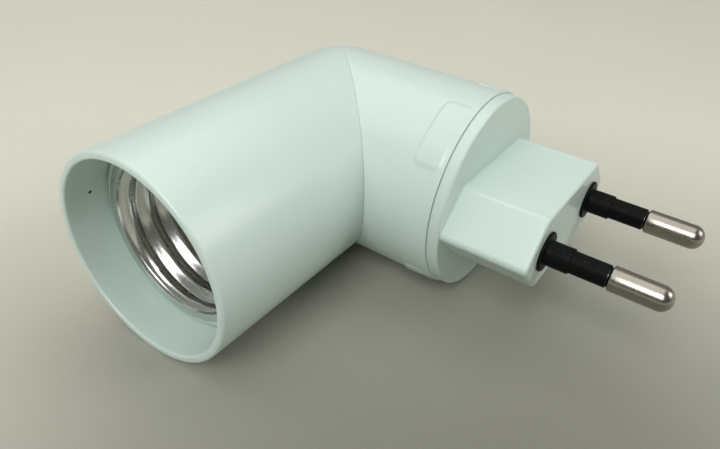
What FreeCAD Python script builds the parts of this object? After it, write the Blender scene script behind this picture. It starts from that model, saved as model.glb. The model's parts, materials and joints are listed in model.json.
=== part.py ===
import FreeCAD, Part
import math
import os
from FreeCAD import Matrix, Placement, Vector

# Plug-in lamp holder: a two-pin plug on a round barrel, a swivel cut at 45 degrees
# and a lamp tube with a recessed screw shell. Millimetres, at rest bent to 90 degrees.
# Origin: centre of the plug's front face. +X runs out along the pins, +Z is up,
# and the lamp tube opens towards -Y.

# Two-pin plug
pin_spacing = 18.6
pin_diameter = 4.0
pin_reach = 19.2
pin_tip_round = 1.85
pin_shank_diameter = 2.8
pin_shoulder_bevel = 0.25
pin_shoulder_length = 0.3
pin_collar_diameter = 5.4
pin_collar_thickness = 1.4
solder_cup_diameter = 3.6
solder_cup_length = 5.2
solder_cup_depth = 4.2
sleeve_reach = 10.2
sleeve_root_diameter = 4.1
sleeve_root_reach = 4.3
sleeve_tip_diameter = 3.6
sleeve_flange_diameter = 6.6
sleeve_flange_thickness = 0.5
sleeve_anchor_length = 6.0
sleeve_step_bevel = 0.15
sleeve_flange_edge = 0.35
sleeve_flange_slope = 0.3

# Plug cap: six-sided plug body on a round disc with a snap skirt behind it
plug_thickness = 13.0
plug_slope_angle = 43.65
plug_length = 14.5
plug_wall = 1.8
plug_front_wall = 2.2
plug_edge_round = 1.0
plug_front_round = 0.5
pin_boss_diameter = 7.2
pin_boss_length = 10.4
screw_post_diameter = 4.6
disc_step = 0.35
disc_thickness = 1.95
disc_edge_round = 0.35
skirt_length = 5.0
skirt_wall = 1.5
skirt_slot_width = 0.9
skirt_root = 0.6
snap_count = 4
snap_first_angle = 54.5
snap_width_angle = 26.0
snap_gap_angle = 6.0
snap_height = 0.6
snap_length = 1.8
snap_ramp_length = 1.26
snap_pad_width_angle = 41.0
snap_pad_inset = 0.5
snap_pad_length = 5.0
snap_pad_back_height = 0.3
snap_pad_front_height = 0.12
cap_seam = 0.16

# Housings: the lamp's thread and the walls round it give both their outside diameter
insert_collar_wall = 2.1
barrel_length = 29.4
barrel_wall = 1.9
tube_length = 49.6
tube_wall = 1.3
tube_rim_round = 0.5
tube_lip_round = 0.35
mitre_wall = 2.0
joint_gap = 0.08

# Swivel at the 45 degree cut
swivel_travel_angle = 180.0
spigot_diameter = 12.0
spigot_bore = 8.4
bearing_length = 4.6
bearing_wall = 2.4
swivel_nut_wall = 2.8
swivel_nut_thickness = 2.4
swivel_nut_slots = 6
swivel_nut_slot_width = 1.6
swivel_nut_slot_depth = 1.1
swivel_washer_width = 2.4
swivel_washer_thickness = 0.6
stop_web = 0.85
stop_track_floor = 0.8
stop_pin_diameter = 2.4
stop_pin_height = 1.1

# Screw socket for a lamp cap with a 27 mm rolled thread
mouth_recess = 7.2
shell_sheet = 0.35
thread_groove_radius = 13.3
thread_crest_radius = 12.2
thread_pitch = 3.629
thread_start_angle = 258.0
thread_collar_length = 0.6
shell_rim_radius = 14.3
shell_columns = 32
shell_rows_per_turn = 8
shell_floor_opening = 16.0
insert_floor = 3.0
insert_elbow_gap = 0.5
insert_back_bevel = 1.3
insert_top_bevel = 0.3
insert_screw_radius = 8.6
insert_screw_diameter = 2.5
insert_screw_head_diameter = 4.6
insert_screw_head_height = 1.5
insert_screw_grip = 7.0
insert_post_diameter = 6.0
shell_rivet_radius = 9.6
shell_rivet_angles = (0.0, 215.0)
centre_rivet_radius = 4.4
rivet_diameter = 2.0
rivet_head_diameter = 3.4
rivet_head_height = 0.6
contact_sheet = 0.5
contact_width = 4.6
contact_rise = 3.2
contact_bend_reach = 4.14
contact_tip_half = 0.78
terminal_width = 3.8
terminal_lead = 5.6
terminal_angle = 150.0
crimp_offset = 4.8

# Shapes of screw heads and rivets, as shares of the head's height or radius
head_edge_share = 0.45
head_dome_radius_share = 0.72
head_dome_height_share = 0.92
head_slot_width_share = 0.44
head_slot_floor_share = 0.5
rivet_tail_radius_share = 0.7
rivet_dome_radius_share = 0.6

# Retainer behind the pins
screw_tip_radius = 0.2
retainer_rim = 0.9
retainer_thickness = 1.8
retainer_screw_diameter = 2.2
retainer_screw_head_diameter = 4.2
retainer_screw_head_height = 1.4
retainer_screw_grip = 7.5
pilot_spare = 1.0

# Wiring
wire_diameter = 2.0
wire_lane = 1.5
wire_seat = 3.0
wire_bend_share = 0.42
crimp_wall = 0.4
spigot_lead = 7.2
live_cup_lead = 8.3
live_spigot_tail = 5.0
live_crimp_lead = 4.3
neutral_cup_lead = 3.9
neutral_loop_step = 2.1
neutral_loop_gaps = (6.9, 5.6, 3.6)
neutral_loop_angles = (-125.0, -72.0, -33.0)
neutral_spigot_tail = 4.2
neutral_crimp_lead = 2.4

# Fits and clearances
press_fit = 0.02
running_fit = 0.06
face_fit = 0.05
slide_fit = 0.15
drop_in_fit = 0.2
room_fit = 0.1
thread_fit = 0.05

# How far fused shapes run into each other, and cutting shapes run past a face
merge = 0.1
past = 1.0

# Sizes and places worked out from the sizes above
insert_bore_radius = thread_groove_radius + shell_sheet + slide_fit
insert_radius = insert_bore_radius + insert_collar_wall
tube_bore_radius = insert_radius + drop_in_fit
body_radius = tube_bore_radius + tube_wall
barrel_bore_radius = body_radius - barrel_wall
disc_radius = body_radius - disc_step
retainer_radius = pin_collar_diameter / 2 + retainer_rim
plug_slope = math.tan(math.radians(plug_slope_angle))
plug_half_width = pin_spacing / 2 + (retainer_radius + room_fit + plug_wall) * math.hypot(1, plug_slope)
swivel_nut_radius = spigot_diameter / 2 + swivel_nut_wall
swivel_washer_radius = spigot_diameter / 2 + swivel_washer_width
stop_track_half = stop_pin_diameter / 2 + slide_fit
stop_radius = spigot_diameter / 2 + bearing_wall + stop_web + stop_track_half
disc_back = -(plug_length + disc_thickness)
barrel_front = disc_back - cap_seam
elbow_x = disc_back - barrel_length
pin_collar_front = -(plug_front_wall + pin_boss_length)
pin_collar_back = pin_collar_front - pin_collar_thickness
solder_cup_end = pin_collar_back - solder_cup_length
mitre = math.sqrt(0.5)
mitre_inner_z = insert_radius - insert_back_bevel + (joint_gap / 2 + mitre_wall) / mitre
insert_back_z = mitre_inner_z + insert_elbow_gap
shell_floor_z = insert_back_z + insert_floor
shell_rim_z = tube_length - mouth_recess
insert_top_z = shell_rim_z - shell_sheet - face_fit
spigot_reach = bearing_length + swivel_washer_thickness + swivel_nut_thickness + 2 * face_fit
crimp_mouth_z = insert_back_z - face_fit - contact_sheet - terminal_lead
live_crimp_radius = centre_rivet_radius + crimp_offset
neutral_crimp_radius = shell_rivet_radius - crimp_offset
far = 8 * body_radius


def frame(origin, x_dir, y_dir, z_dir):
    """Placement that carries a local frame to the given origin and directions."""
    matrix = Matrix(
        x_dir.x, y_dir.x, z_dir.x, origin.x,
        x_dir.y, y_dir.y, z_dir.y, origin.y,
        x_dir.z, y_dir.z, z_dir.z, origin.z,
        0, 0, 0, 1,
    )
    return Placement(matrix)


elbow = Vector(elbow_x, 0, 0)
up = Vector(0, 0, 1)
swivel_dir = Vector(mitre, mitre, 0)
inner_corner_dir = Vector(mitre, -mitre, 0)

# Local z runs out of the plug, out of the lamp tube's mouth, and along the swivel's pivot
plug_frame = frame(Vector(0, 0, 0), Vector(0, 1, 0), up, Vector(1, 0, 0))
lamp_frame = frame(elbow, Vector(1, 0, 0), up, Vector(0, -1, 0))
swivel_frame = frame(elbow, inner_corner_dir, -up, swivel_dir)


def placed(shape, place):
    """Copy of a shape, carried from its local frame into the part's frame."""
    moved = shape.copy()
    moved.Placement = place.multiply(moved.Placement)
    return moved


def cylinder(radius, low, high, x=0.0, y=0.0):
    """Cylinder along local z between two heights."""
    return Part.makeCylinder(radius, high - low, Vector(x, y, low))


def ring(outer_radius, inner_radius, low, high, x=0.0, y=0.0):
    """Plain tube along local z."""
    outer = cylinder(outer_radius, low, high, x, y)
    return outer.cut(cylinder(inner_radius, low - past, high + past, x, y))


def box(low, high):
    """Box between two corners."""
    size = high - low
    return Part.makeBox(size.x, size.y, size.z, low)


def turned(points):
    """Solid turned about local z from (radius, height) corners."""
    corners = [Vector(radius, 0, height) for radius, height in points]
    face = Part.Face(Part.makePolygon(corners + corners[:1]))
    return face.revolve(Vector(0, 0, 0), Vector(0, 0, 1), 360)


def prism(points, low, high):
    """Straight prism along local z from (x, y) corners."""
    corners = [Vector(x, y, low) for x, y in points]
    face = Part.Face(Part.makePolygon(corners + corners[:1]))
    return face.extrude(Vector(0, 0, high - low))


def spun(shape, angle):
    """Copy of a shape turned about local z."""
    copy = shape.copy()
    copy.rotate(Vector(0, 0, 0), Vector(0, 0, 1), angle)
    return copy


def turned_sector(points, centre_angle, width_angle):
    """Piece turned from (radius, height) corners that covers width_angle about centre_angle."""
    corners = [Vector(radius, 0, height) for radius, height in points]
    face = Part.Face(Part.makePolygon(corners + corners[:1]))
    piece = face.revolve(Vector(0, 0, 0), Vector(0, 0, 1), width_angle)
    return spun(piece, centre_angle - width_angle / 2)


def sector(outer_radius, inner_radius, low, high, centre_angle, width_angle):
    """Piece of a tube that covers width_angle about centre_angle."""
    points = [(inner_radius, low), (outer_radius, low), (outer_radius, high), (inner_radius, high)]
    return turned_sector(points, centre_angle, width_angle)


def rounded(shape, radius, picks):
    """Fillet the edges that picks() accepts."""
    edges = [edge for edge in shape.Edges if picks(edge)]
    return shape.makeFillet(radius, edges)


def is_circle(edge, radius, centre):
    """True for a circle of this radius about this centre."""
    curve = edge.Curve
    if not isinstance(curve, Part.Circle):
        return False
    return abs(curve.Radius - radius) < 0.01 and curve.Center.distanceToPoint(centre) < 0.01


def plug_outline(inset):
    """Corners of the six-sided plug section, set in by a wall thickness."""
    apex = plug_half_width - inset * math.hypot(1, plug_slope)
    top = plug_thickness / 2 - inset
    corner = apex - top * plug_slope
    return [(apex, 0), (corner, top), (-corner, top), (-apex, 0), (-corner, -top), (corner, -top)]


def snap_angles():
    """Angles of the snap hooks about the plug's axis, in pairs above and below."""
    first = snap_first_angle
    pairs = [first, 180 - first, 180 + first, 360 - first]
    return pairs[:snap_count]


# Plug cap
def make_plug_cap():
    body = prism(plug_outline(0), disc_back + disc_thickness / 2, 0)
    body = rounded(body, plug_edge_round, lambda edge: abs(edge.tangentAt(edge.FirstParameter).z) > 0.9)
    body = rounded(body, plug_front_round, lambda edge: edge.BoundBox.ZMin > -0.01)
    disc = cylinder(disc_radius, disc_back, disc_back + disc_thickness)
    disc_front = Vector(0, 0, disc_back + disc_thickness)
    disc = rounded(disc, disc_edge_round, lambda edge: is_circle(edge, disc_radius, disc_front))
    skirt_radius = barrel_bore_radius - slide_fit
    skirt_end = disc_back - skirt_length
    skirt = ring(skirt_radius, skirt_radius - skirt_wall, skirt_end, disc_back + merge)
    for angle in snap_angles():
        hook = turned([
            (skirt_radius - skirt_wall / 2, skirt_end),
            (skirt_radius, skirt_end),
            (skirt_radius + snap_height, skirt_end + snap_ramp_length),
            (skirt_radius + snap_height, skirt_end + snap_length),
            (skirt_radius - skirt_wall / 2, skirt_end + snap_length),
        ])
        window = sector(skirt_radius + past, past, skirt_end - past, disc_back, angle, snap_width_angle)
        skirt = skirt.fuse(hook.common(window))
        for side in (-1, 1):
            slot = box(
                Vector(past, -skirt_slot_width / 2, skirt_end - past),
                Vector(skirt_radius + past, skirt_slot_width / 2, disc_back - skirt_root),
            )
            skirt = skirt.cut(spun(slot, angle + side * (snap_width_angle + snap_gap_angle) / 2))
    hollow = prism(plug_outline(plug_wall), disc_back - past, -plug_front_wall)
    cap = body.fuse(disc).cut(hollow).fuse(skirt)
    for side in (-1, 1):
        boss = cylinder(pin_boss_diameter / 2, pin_collar_front, -plug_front_wall / 2, side * pin_spacing / 2)
        cap = cap.fuse(boss.common(body))
    post_top = pin_collar_back - face_fit
    post = cylinder(screw_post_diameter / 2, post_top, -plug_front_wall / 2)
    cap = cap.fuse(post)
    for side in (-1, 1):
        x = side * pin_spacing / 2
        cap = cap.cut(cylinder(sleeve_root_diameter / 2 + press_fit, -sleeve_anchor_length - press_fit, past, x))
        cap = cap.cut(cylinder(pin_shank_diameter / 2 + press_fit, pin_collar_front - past, past, x))
    pilot_depth = retainer_screw_grip - retainer_thickness + pilot_spare
    cap = cap.cut(cylinder(retainer_screw_diameter / 2 + thread_fit, post_top - past, post_top + pilot_depth))
    return placed(cap.removeSplitter(), plug_frame)


# Pins and their insulating sleeves
def make_pin(side):
    radius = pin_diameter / 2
    shank = pin_shank_diameter / 2
    tip = turned([
        (0, sleeve_reach - pin_shoulder_length),
        (shank, sleeve_reach - pin_shoulder_length),
        (radius - pin_shoulder_bevel, sleeve_reach),
        (radius, sleeve_reach + pin_shoulder_bevel),
        (radius, pin_reach),
        (0, pin_reach),
    ])
    tip = rounded(tip, pin_tip_round, lambda edge: is_circle(edge, radius, Vector(0, 0, pin_reach)))
    rear = turned([
        (0, solder_cup_end),
        (solder_cup_diameter / 2, solder_cup_end),
        (solder_cup_diameter / 2, pin_collar_back),
        (pin_collar_diameter / 2, pin_collar_back),
        (pin_collar_diameter / 2, pin_collar_front - face_fit),
        (shank, pin_collar_front - face_fit),
        (shank, sleeve_reach - merge),
        (0, sleeve_reach - merge),
    ])
    pin = tip.fuse(rear)
    cup = cylinder(wire_diameter / 2 + press_fit, solder_cup_end - past, solder_cup_end + solder_cup_depth)
    pin = pin.cut(cup).removeSplitter()
    pin.translate(Vector(side * pin_spacing / 2, 0, 0))
    return placed(pin, plug_frame)


def make_pin_sleeve(side):
    root = sleeve_root_diameter / 2
    bore = pin_shank_diameter / 2 + press_fit
    tip_z = sleeve_reach - pin_shoulder_length - press_fit
    sleeve = turned([
        (bore, -sleeve_anchor_length),
        (root, -sleeve_anchor_length),
        (root, 0),
        (sleeve_flange_diameter / 2, 0),
        (sleeve_flange_diameter / 2, sleeve_flange_edge),
        (sleeve_flange_diameter / 2 - sleeve_flange_slope, sleeve_flange_thickness),
        (root, sleeve_flange_thickness),
        (root, sleeve_root_reach - sleeve_step_bevel),
        (root - sleeve_step_bevel, sleeve_root_reach),
        (sleeve_tip_diameter / 2, sleeve_root_reach),
        (sleeve_tip_diameter / 2, tip_z),
        (bore, tip_z),
    ])
    sleeve.translate(Vector(side * pin_spacing / 2, 0, 0))
    return placed(sleeve, plug_frame)


def slotted_screw(diameter, head_diameter, head_height, grip):
    """Pan-head screw on local z with its head's seat at z = 0 and its shank below."""
    head = turned([
        (0, 0),
        (head_diameter / 2, 0),
        (head_diameter / 2, head_height * head_edge_share),
        (head_diameter / 2 * head_dome_radius_share, head_height * head_dome_height_share),
        (0, head_height),
    ])
    shank = turned([
        (0, merge),
        (diameter / 2, merge),
        (diameter / 2, -grip + diameter / 2),
        (screw_tip_radius, -grip),
        (0, -grip),
    ])
    slot_half = head_height * head_slot_width_share / 2
    slot = box(
        Vector(-head_diameter, -slot_half, head_height * head_slot_floor_share),
        Vector(head_diameter, slot_half, head_height + past),
    )
    return head.fuse(shank).cut(slot).removeSplitter()


# Plate and screw that hold the pins from behind
def make_pin_retainer():
    front = pin_collar_back - face_fit
    half = pin_spacing / 2
    low = front - retainer_thickness
    plate = box(Vector(-half, -retainer_radius, low), Vector(half, retainer_radius, front))
    for side in (-1, 1):
        plate = plate.fuse(cylinder(retainer_radius, low, front, side * half))
    for side in (-1, 1):
        plate = plate.cut(cylinder(solder_cup_diameter / 2 + slide_fit, low - past, front + past, side * half))
    plate = plate.cut(cylinder(retainer_screw_diameter / 2 + slide_fit, low - past, front + past))
    return placed(plate.removeSplitter(), plug_frame)


def make_retainer_screw():
    screw = slotted_screw(
        retainer_screw_diameter, retainer_screw_head_diameter, retainer_screw_head_height, retainer_screw_grip
    )
    screw.rotate(Vector(0, 0, 0), Vector(1, 0, 0), 180)
    seat = pin_collar_back - face_fit - retainer_thickness
    screw.translate(Vector(0, 0, seat - press_fit))
    return placed(screw, plug_frame)


def half_space(side, offset):
    """Large block on one side of the 45 degree cut, starting at offset from it."""
    low, high = (offset, far) if side > 0 else (-far, -offset)
    return placed(box(Vector(-far, -far, low), Vector(far, far, high)), swivel_frame)


def elbow_form(radius, side):
    """Tube of one housing that runs into a ball at the elbow's outer corner."""
    if side > 0:
        tube = placed(cylinder(radius, elbow_x, barrel_front), plug_frame)
    else:
        tube = placed(cylinder(radius, 0, tube_length), lamp_frame)
    ball = Part.makeSphere(radius, elbow, swivel_dir)
    return tube.fuse(ball)


# Plug barrel: root of the swivel
def make_plug_barrel():
    outer = elbow_form(body_radius, 1)
    for angle in snap_angles():
        pad_front = barrel_front - snap_pad_inset
        pad = [
            (body_radius - barrel_wall / 2, pad_front - snap_pad_length),
            (body_radius + snap_pad_back_height, pad_front - snap_pad_length),
            (body_radius + snap_pad_front_height, pad_front),
            (body_radius - barrel_wall / 2, pad_front),
        ]
        outer = outer.fuse(placed(turned_sector(pad, angle, snap_pad_width_angle), plug_frame))
    outer = outer.common(half_space(1, joint_gap / 2))
    hollow = elbow_form(barrel_bore_radius, 1).fuse(
        placed(cylinder(barrel_bore_radius, barrel_front - past, barrel_front + past), plug_frame)
    )
    hollow = hollow.common(half_space(1, joint_gap / 2 + mitre_wall))
    barrel = outer.cut(hollow)
    hub = placed(cylinder(spigot_diameter / 2 + bearing_wall, joint_gap / 2, bearing_length), swivel_frame)
    stop_track_cover = placed(
        ring(
            stop_radius + stop_pin_diameter, spigot_bore / 2,
            joint_gap / 2 + mitre_wall / 2, mitre_wall + stop_track_floor,
        ),
        swivel_frame,
    )
    barrel = barrel.fuse(hub).fuse(stop_track_cover)
    bearing = cylinder(spigot_diameter / 2 + running_fit, -past, bearing_length + past)
    barrel = barrel.cut(placed(bearing, swivel_frame))
    barrel = barrel.cut(stop_track())
    for angle in snap_angles():
        pocket = sector(
            barrel_bore_radius + snap_height + slide_fit / 2, barrel_bore_radius - past,
            disc_back - skirt_length - slide_fit, disc_back - skirt_length + snap_length + slide_fit,
            angle, snap_width_angle + snap_gap_angle / 3,
        )
        barrel = barrel.cut(placed(pocket, plug_frame))
    return barrel.removeSplitter()


def stop_track():
    """Curved groove in the barrel's 45 degree face that the stop pin runs in."""
    depth = stop_pin_height + slide_fit + joint_gap
    outer, inner = stop_radius + stop_track_half, stop_radius - stop_track_half
    track = sector(outer, inner, -past, depth, 0, swivel_travel_angle)
    for end in (-1, 1):
        angle = math.radians(end * swivel_travel_angle / 2)
        x = stop_radius * math.cos(angle)
        y = stop_radius * math.sin(angle)
        track = track.fuse(cylinder(stop_track_half, -past, depth, x, y))
    return placed(track, swivel_frame)


# Lamp housing: tube, 45 degree wall, hollow spigot and stop pin
def make_lamp_housing():
    outer = elbow_form(body_radius, -1).common(half_space(-1, joint_gap / 2))
    hollow = elbow_form(tube_bore_radius, -1).fuse(
        placed(cylinder(tube_bore_radius, tube_length - past, tube_length + past), lamp_frame)
    )
    hollow = hollow.common(half_space(-1, joint_gap / 2 + mitre_wall))
    housing = outer.cut(hollow)
    mouth = lamp_frame.multVec(Vector(0, 0, tube_length))
    housing = rounded(housing, tube_rim_round, lambda edge: is_circle(edge, body_radius, mouth))
    housing = rounded(housing, tube_lip_round, lambda edge: is_circle(edge, tube_bore_radius, mouth))
    post_top = insert_back_z - face_fit
    for side in (-1, 1):
        post = cylinder(insert_post_diameter / 2, -body_radius, post_top, 0, side * insert_screw_radius)
        pilot = cylinder(
            insert_screw_diameter / 2 + thread_fit, post_top - insert_screw_grip, post_top + past,
            0, side * insert_screw_radius,
        )
        housing = housing.fuse(placed(post, lamp_frame).common(outer)).cut(placed(pilot, lamp_frame))
    spigot = cylinder(spigot_diameter / 2, -mitre_wall, spigot_reach)
    housing = housing.fuse(placed(spigot, swivel_frame))
    rest_angle = math.radians(-swivel_travel_angle / 2)
    stop_pin = cylinder(
        stop_pin_diameter / 2, -mitre_wall / 2, stop_pin_height,
        stop_radius * math.cos(rest_angle), stop_radius * math.sin(rest_angle),
    )
    housing = housing.fuse(placed(stop_pin, swivel_frame))
    housing = housing.cut(placed(cylinder(spigot_bore / 2, -body_radius, spigot_reach + past), swivel_frame))
    return housing.removeSplitter()


# Washer and nut that keep the spigot in the barrel
def make_swivel_washer():
    low = bearing_length + face_fit
    washer = ring(swivel_washer_radius, spigot_diameter / 2 + slide_fit, low, low + swivel_washer_thickness)
    return placed(washer, swivel_frame)


def make_swivel_nut():
    low = bearing_length + swivel_washer_thickness + 2 * face_fit
    nut = ring(swivel_nut_radius, spigot_diameter / 2 + thread_fit, low, low + swivel_nut_thickness)
    for index in range(swivel_nut_slots):
        slot = box(
            Vector(swivel_nut_radius - swivel_nut_slot_depth, -swivel_nut_slot_width / 2, low - past),
            Vector(swivel_nut_radius + past, swivel_nut_slot_width / 2, low + swivel_nut_thickness + past),
        )
        nut = nut.cut(spun(slot, index * 360 / swivel_nut_slots))
    return placed(nut.removeSplitter(), swivel_frame)


# Insulating insert that carries the screw shell
def make_socket_insert():
    bevel = insert_back_bevel
    insert = turned([
        (0, insert_back_z),
        (insert_radius - bevel, insert_back_z),
        (insert_radius, insert_back_z + bevel),
        (insert_radius, insert_top_z - insert_top_bevel),
        (insert_radius - insert_top_bevel, insert_top_z),
        (insert_bore_radius, insert_top_z),
        (insert_bore_radius, shell_floor_z - face_fit),
        (0, shell_floor_z - face_fit),
    ])
    for side in (-1, 1):
        hole = cylinder(
            insert_screw_diameter / 2 + slide_fit, insert_back_z - past, shell_floor_z + past,
            0, side * insert_screw_radius,
        )
        insert = insert.cut(hole)
    for x, y in rivet_places():
        hole = cylinder(rivet_diameter / 2 + press_fit, insert_back_z - past, shell_floor_z + past, x, y)
        insert = insert.cut(hole)
    return placed(insert, lamp_frame)


def polar(radius, angle):
    """Point in the socket's plane, from the lamp axis."""
    turn = math.radians(angle)
    return radius * math.cos(turn), radius * math.sin(turn)


def rivet_places():
    """Two rivets for the shell and one for the centre contact."""
    places = [polar(shell_rivet_radius, angle) for angle in shell_rivet_angles]
    places.append(polar(centre_rivet_radius, terminal_angle))
    return places


# Rolled screw shell
def shell_wall(offset, low, high):
    """Solid inside a rolled thread surface, offset outwards by the sheet."""
    mean = (thread_groove_radius + thread_crest_radius) / 2
    swing = (thread_groove_radius - thread_crest_radius) / 2
    rolled_high = shell_rim_z - thread_collar_length
    rolled_low = shell_floor_z + shell_sheet
    start = math.radians(thread_start_angle)

    # A uniform cubic spline pulls its wave inside the poles, by this share
    turn_pull = (2 + math.cos(2 * math.pi / shell_columns)) / 3
    rise_pull = (2 + math.cos(2 * math.pi / shell_rows_per_turn)) / 3

    def radius_at(angle, height):
        rise = min(max((height - rolled_low) / thread_pitch, 0), 1)
        fall = min(max((rolled_high - height) / thread_pitch, 0), 1)
        rise = rise * rise * (3 - 2 * rise)
        fall = fall * fall * (3 - 2 * fall)
        phase = 2 * math.pi * (height - rolled_high) / thread_pitch - angle + start
        wave = swing * rise * fall * math.cos(phase) / rise_pull
        return (mean + swing * (rise - fall) + wave + offset) / turn_pull

    spans = int(round((high - low) / thread_pitch * shell_rows_per_turn))
    knots = [low + (high - low) * index / spans for index in range(spans + 1)]
    padded = [low] * 3 + knots + [high] * 3
    heights = [sum(padded[row + 1:row + 4]) / 3 for row in range(spans + 3)]
    poles = []
    for column in range(shell_columns):
        angle = 2 * math.pi * column / shell_columns
        line = []
        for height in heights:
            radius = radius_at(angle, height)
            line.append(Vector(radius * math.cos(angle), radius * math.sin(angle), height))
        poles.append(line)
    turn_knots = [index / shell_columns for index in range(shell_columns + 1)]
    turn_counts = [1] * (shell_columns + 1)
    rise_counts = [4] + [1] * (spans - 1) + [4]
    surface = Part.BSplineSurface()
    surface.buildFromPolesMultsKnots(poles, turn_counts, rise_counts, turn_knots, knots, True, False, 3, 3)
    side = surface.toShape()
    faces = [side]
    for edge in side.Edges:
        if edge.BoundBox.ZLength < 1e-6:
            faces.append(Part.Face(Part.Wire([edge])))
    shell = Part.makeShell(faces)
    shell.sewShape()
    solid = Part.makeSolid(shell)
    if solid.Volume < 0:
        solid.reverse()
    return solid


def make_screw_shell():
    outer = shell_wall(shell_sheet, shell_floor_z, shell_rim_z)
    inner = shell_wall(0, shell_floor_z + shell_sheet, shell_rim_z + past)
    rim = ring(shell_rim_radius, thread_groove_radius + shell_sheet / 2, shell_rim_z - shell_sheet, shell_rim_z)
    shell = outer.fuse(rim).cut(inner)
    collar = cylinder(thread_groove_radius + press_fit, shell_rim_z - thread_collar_length, shell_rim_z + past)
    shell = shell.cut(collar)
    shell = shell.cut(cylinder(shell_floor_opening / 2, shell_floor_z - past, shell_floor_z + past))
    for side in (-1, 1):
        hole = cylinder(
            insert_screw_head_diameter / 2 + drop_in_fit, shell_floor_z - past, shell_floor_z + past,
            0, side * insert_screw_radius,
        )
        shell = shell.cut(hole)
    for angle in shell_rivet_angles:
        x, y = polar(shell_rivet_radius, angle)
        hole = cylinder(rivet_diameter / 2 + press_fit, shell_floor_z - past, shell_floor_z + past, x, y)
        shell = shell.cut(hole)
    return placed(shell, lamp_frame)


# Contacts, terminals and what fastens them
def folded_strip(points, sheet, width):
    """Sheet strip along (x, z) points, centred on local y."""
    sides = ([], [])
    for index, (x, z) in enumerate(points):
        before = points[max(index - 1, 0)]
        after = points[min(index + 1, len(points) - 1)]
        directions = []
        for start, end in ((before, (x, z)), ((x, z), after)):
            length = math.hypot(end[0] - start[0], end[1] - start[1])
            if length > 0:
                directions.append(((end[0] - start[0]) / length, (end[1] - start[1]) / length))
        normal_x = -sum(direction[1] for direction in directions) / len(directions)
        normal_z = sum(direction[0] for direction in directions) / len(directions)
        scale = sheet / 2 / (normal_x ** 2 + normal_z ** 2)
        sides[0].append((x + normal_x * scale, z + normal_z * scale))
        sides[1].append((x - normal_x * scale, z - normal_z * scale))
    outline = sides[0] + sides[1][::-1]
    corners = [Vector(x, -width / 2, z) for x, z in outline]
    face = Part.Face(Part.makePolygon(corners + corners[:1]))
    return face.extrude(Vector(0, width, 0))


def make_centre_contact():
    floor = shell_floor_z + contact_sheet / 2
    end = centre_rivet_radius + rivet_head_diameter / 2 + room_fit
    bend = contact_bend_reach
    tip = contact_tip_half
    leaf = folded_strip(
        [
            (end, floor),
            (tip - bend, floor),
            (-bend, floor + contact_rise / 5),
            (-bend, floor + contact_rise / 2),
            (1.5 * tip - bend, floor + contact_rise * 3 / 4),
            (-tip, floor + contact_rise),
            (tip, floor + contact_rise),
            (3 * tip, floor + contact_rise * 4 / 5),
        ],
        contact_sheet, contact_width,
    )
    leaf = leaf.cut(cylinder(rivet_diameter / 2 + press_fit, floor - past, floor + past, centre_rivet_radius))
    return placed(spun(leaf, terminal_angle), lamp_frame)


def make_terminal(rivet_radius, crimp_radius, angle):
    """Lug under the insert: a plate on its rivet and a tube that grips the wire."""
    high = insert_back_z - face_fit
    low = high - contact_sheet
    half = terminal_width / 2
    first, last = sorted((rivet_radius, crimp_radius))
    lug = box(Vector(first, -half, low), Vector(last, half, high))
    for radius in (first, last):
        lug = lug.fuse(cylinder(half, low, high, radius))
    bore = wire_diameter / 2 + press_fit
    lug = lug.fuse(ring(bore + crimp_wall, bore, low - terminal_lead, low, crimp_radius))
    lug = lug.cut(cylinder(rivet_diameter / 2 + press_fit, low - past, high + past, rivet_radius))
    return placed(spun(lug.removeSplitter(), angle), lamp_frame)


def rivet(top, bottom, x, y):
    """Rivet between two faces, with a domed head and a flatter tail."""
    head = rivet_head_diameter / 2
    shape = turned([
        (0, bottom - rivet_head_height),
        (head * rivet_tail_radius_share, bottom - rivet_head_height),
        (head, bottom - press_fit),
        (rivet_diameter / 2, bottom - press_fit),
        (rivet_diameter / 2, top + press_fit),
        (head, top + press_fit),
        (head * rivet_dome_radius_share, top + rivet_head_height),
        (0, top + rivet_head_height),
    ])
    shape.translate(Vector(x, y, 0))
    return shape


def make_contact_rivets():
    lug_back = insert_back_z - face_fit - contact_sheet
    plain, wired, centre = rivet_places()
    rivets = [
        rivet(shell_floor_z + shell_sheet, insert_back_z, *plain),
        rivet(shell_floor_z + shell_sheet, lug_back, *wired),
        rivet(shell_floor_z + contact_sheet, lug_back, *centre),
    ]
    return placed(Part.makeCompound(rivets), lamp_frame)


def make_insert_screws():
    screws = []
    for side in (-1, 1):
        screw = slotted_screw(
            insert_screw_diameter, insert_screw_head_diameter, insert_screw_head_height,
            insert_floor + insert_screw_grip - pilot_spare,
        )
        screw.translate(Vector(0, side * insert_screw_radius, shell_floor_z - face_fit + press_fit))
        screws.append(screw)
    return placed(Part.makeCompound(screws), lamp_frame)


# Wires from the pins through the spigot to the terminals
def wire_solid(points):
    """Round wire along straight runs that tangent arcs join."""
    edges = []
    last = points[0]
    for index in range(1, len(points) - 1):
        corner = points[index]
        back = points[index - 1] - corner
        ahead = points[index + 1] - corner
        reach = wire_bend_share * min(back.Length, ahead.Length)
        turn = math.pi - back.getAngle(ahead)
        radius = reach / math.tan(turn / 2)
        start = corner + back.normalize() * reach
        end = corner + ahead.normalize() * reach
        middle = corner + (back + ahead).normalize() * (radius / math.cos(turn / 2) - radius)
        edges.append(Part.LineSegment(last, start).toShape())
        edges.append(Part.Arc(start, middle, end).toShape())
        last = end
    edges.append(Part.LineSegment(last, points[-1]).toShape())
    path = Part.Wire(edges)
    direction = points[1] - points[0]
    section = Part.Wire(Part.makeCircle(wire_diameter / 2, points[0], direction))
    wire = path.makePipeShell([section], True, False)
    print("wire volume over section times length", wire.Volume / (Part.Face(section).Area * path.Length))
    return wire


def along_swivel(distance, lane):
    """Point in one wire's lane through the spigot."""
    return elbow + swivel_dir * distance + up * lane


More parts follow.
